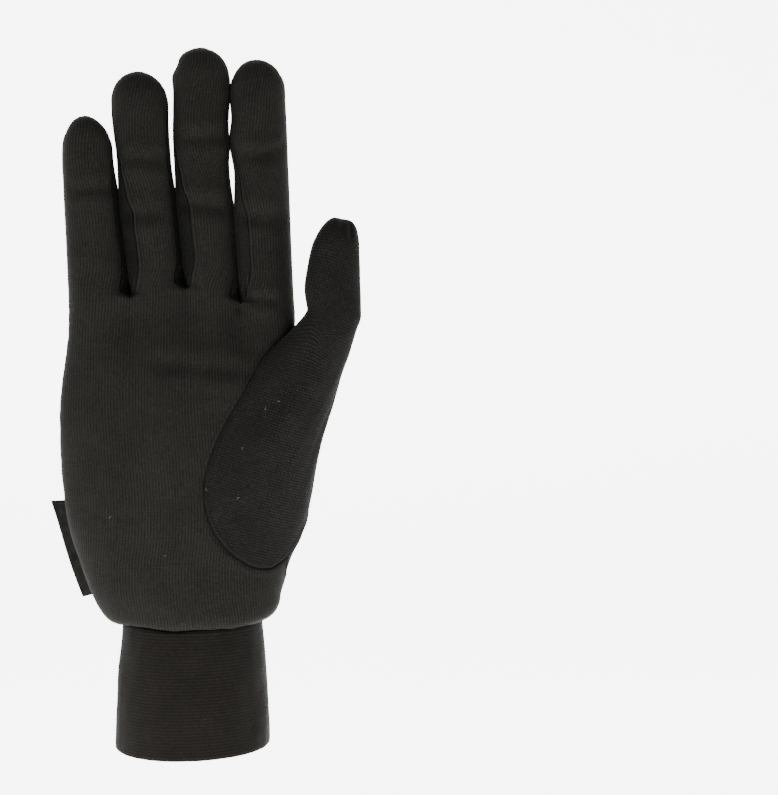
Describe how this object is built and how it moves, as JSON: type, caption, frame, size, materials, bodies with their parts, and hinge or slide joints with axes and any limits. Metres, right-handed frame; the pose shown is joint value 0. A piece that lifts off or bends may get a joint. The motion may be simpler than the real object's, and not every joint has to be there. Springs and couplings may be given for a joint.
{
  "type": "glove liner",
  "caption": "Dark fine-knit liner glove for the right hand, sewn from palm and back panels, finger strips and a thumb, with a ribbed wrist band and a bare side tab.",
  "frame": {"origin": "centre of the wrist opening at the mouth of the cuff", "axes": "+Z runs from the cuff to the fingertips, the palm faces -Y, the thumb is on the +X side"},
  "size_m": [0.1126, 0.0474, 0.2534],
  "materials": {
    "jersey": "fine matt knit",
    "cuff_knit": "tight banded knit",
    "label_tape": "smooth woven tape"
  },
  "bodies": {
    "root": {"palm_panel": "jersey", "back_panel": "jersey", "fourchette_little_ring": "jersey", "fourchette_ring_middle": "jersey", "fourchette_middle_index": "jersey", "thumb": "jersey", "cuff": "cuff_knit", "label": "label_tape"}
  },
  "joints": []
}
